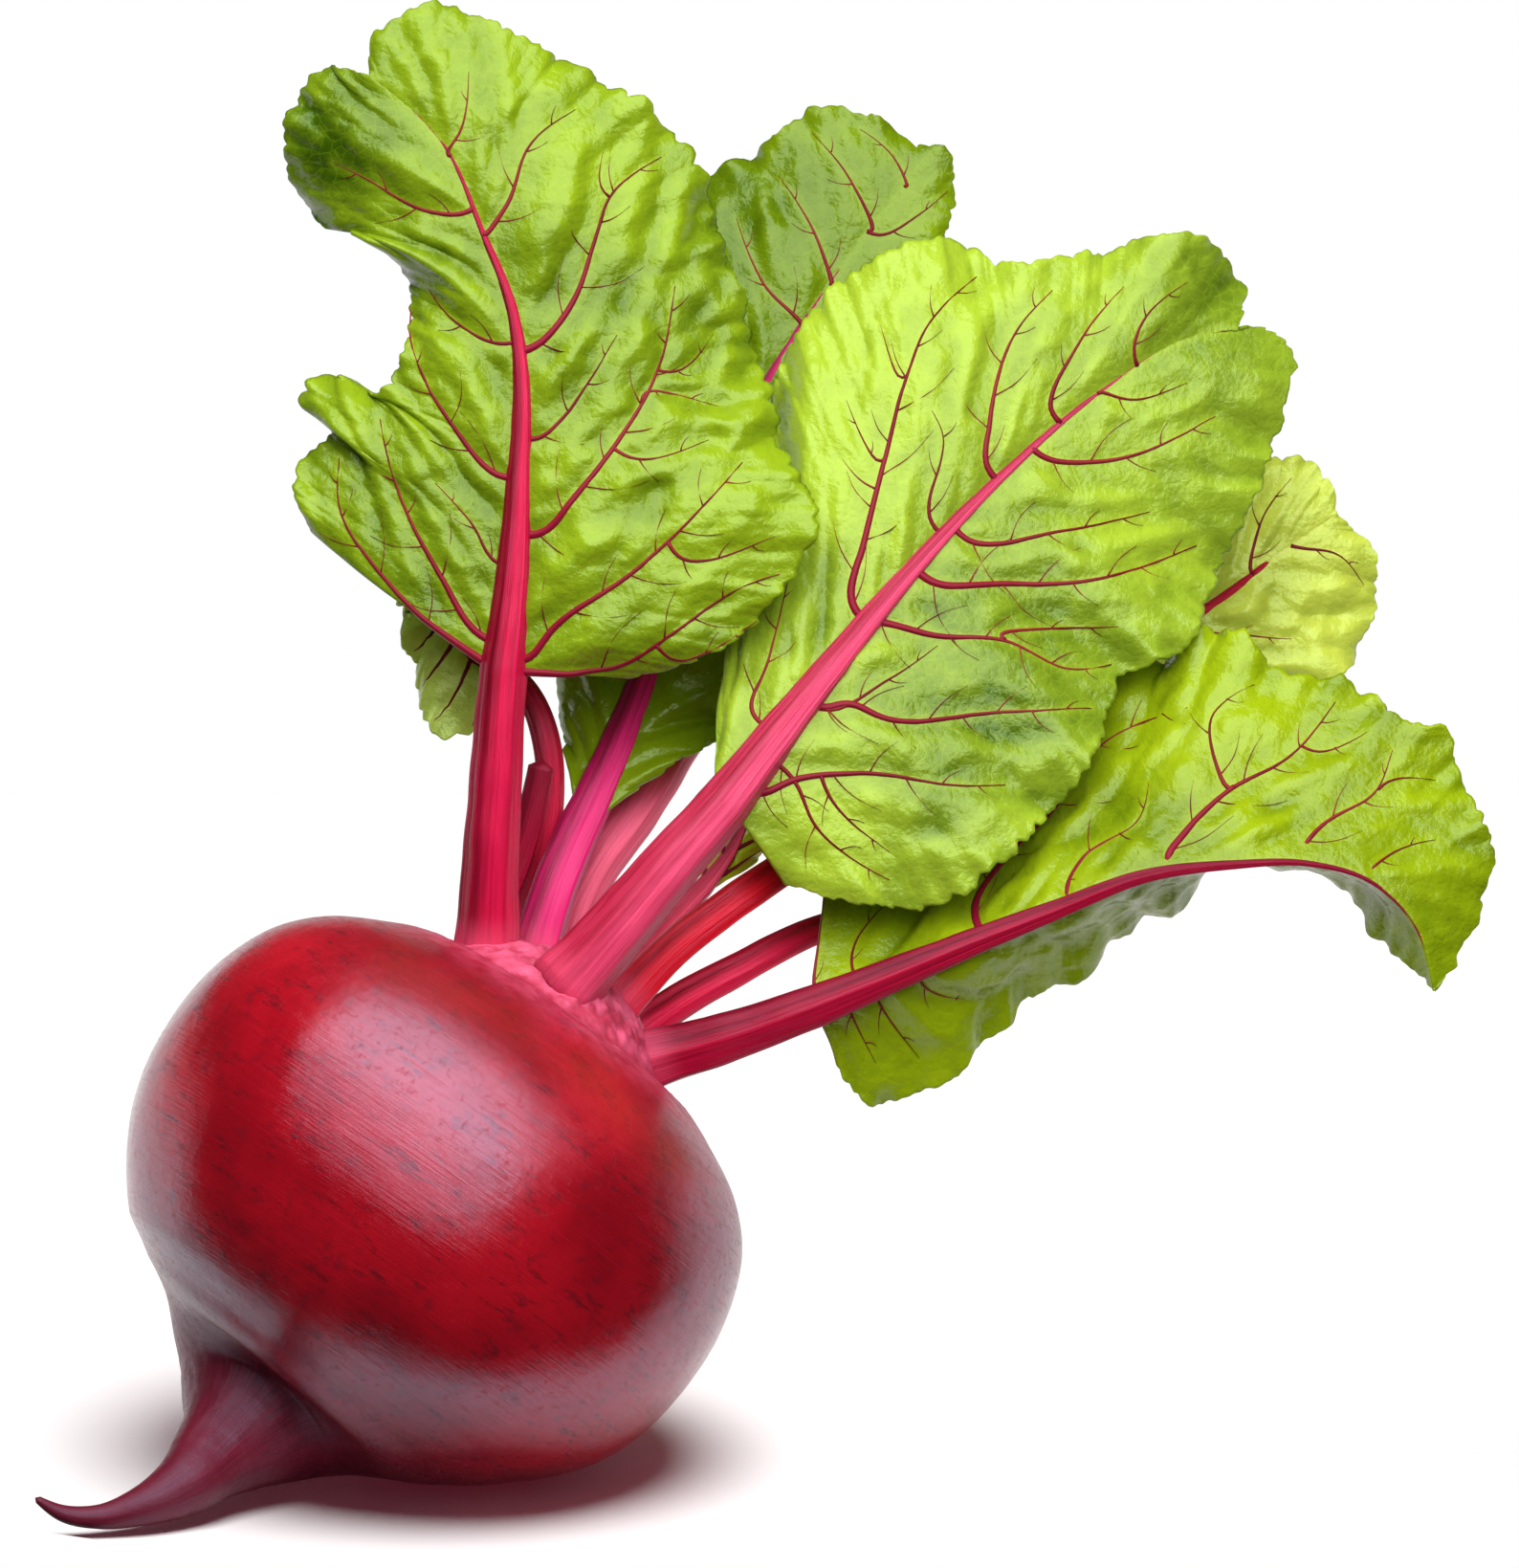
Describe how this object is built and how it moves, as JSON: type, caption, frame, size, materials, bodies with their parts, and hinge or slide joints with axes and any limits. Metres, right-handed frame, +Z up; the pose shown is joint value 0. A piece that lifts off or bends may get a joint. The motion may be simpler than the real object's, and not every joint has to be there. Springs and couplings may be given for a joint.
{
  "type": "beetroot",
  "caption": "Whole beetroot as picked: a round dark red root with a thin curling tail, red leaf stalks on its crown and waved green leaves.",
  "frame": {"origin": "middle of the small flat spot under the root's belly, where the beetroot rests", "axes": "+Z up from the ground; +X towards the side that the leaves spread to, away from the tail; +Y away from the side that the tail bends to"},
  "size_m": [0.188, 0.1143, 0.1874],
  "materials": {
    "root_skin": "gloss",
    "stalk_red": "satin",
    "leaf_green": "satin"
  },
  "bodies": {
    "root": {"root": "root_skin", "stalk_tall_left": "stalk_red", "stalk_broad_front": "stalk_red", "stalk_tall_rear": "stalk_red", "stalk_low_right": "stalk_red", "stalk_far_right": "stalk_red", "stalk_mid_right": "stalk_red", "stalk_behind_front": "stalk_red", "stalk_small_left": "stalk_red", "stalk_young": "stalk_red", "stalk_stub": "stalk_red", "blade_tall_left": "leaf_green", "blade_broad_front": "leaf_green", "blade_tall_rear": "leaf_green", "blade_low_right": "leaf_green", "blade_far_right": "leaf_green", "blade_mid_right": "leaf_green", "blade_behind_front": "leaf_green", "blade_small_left": "leaf_green", "blade_young": "leaf_green"}
  },
  "joints": []
}
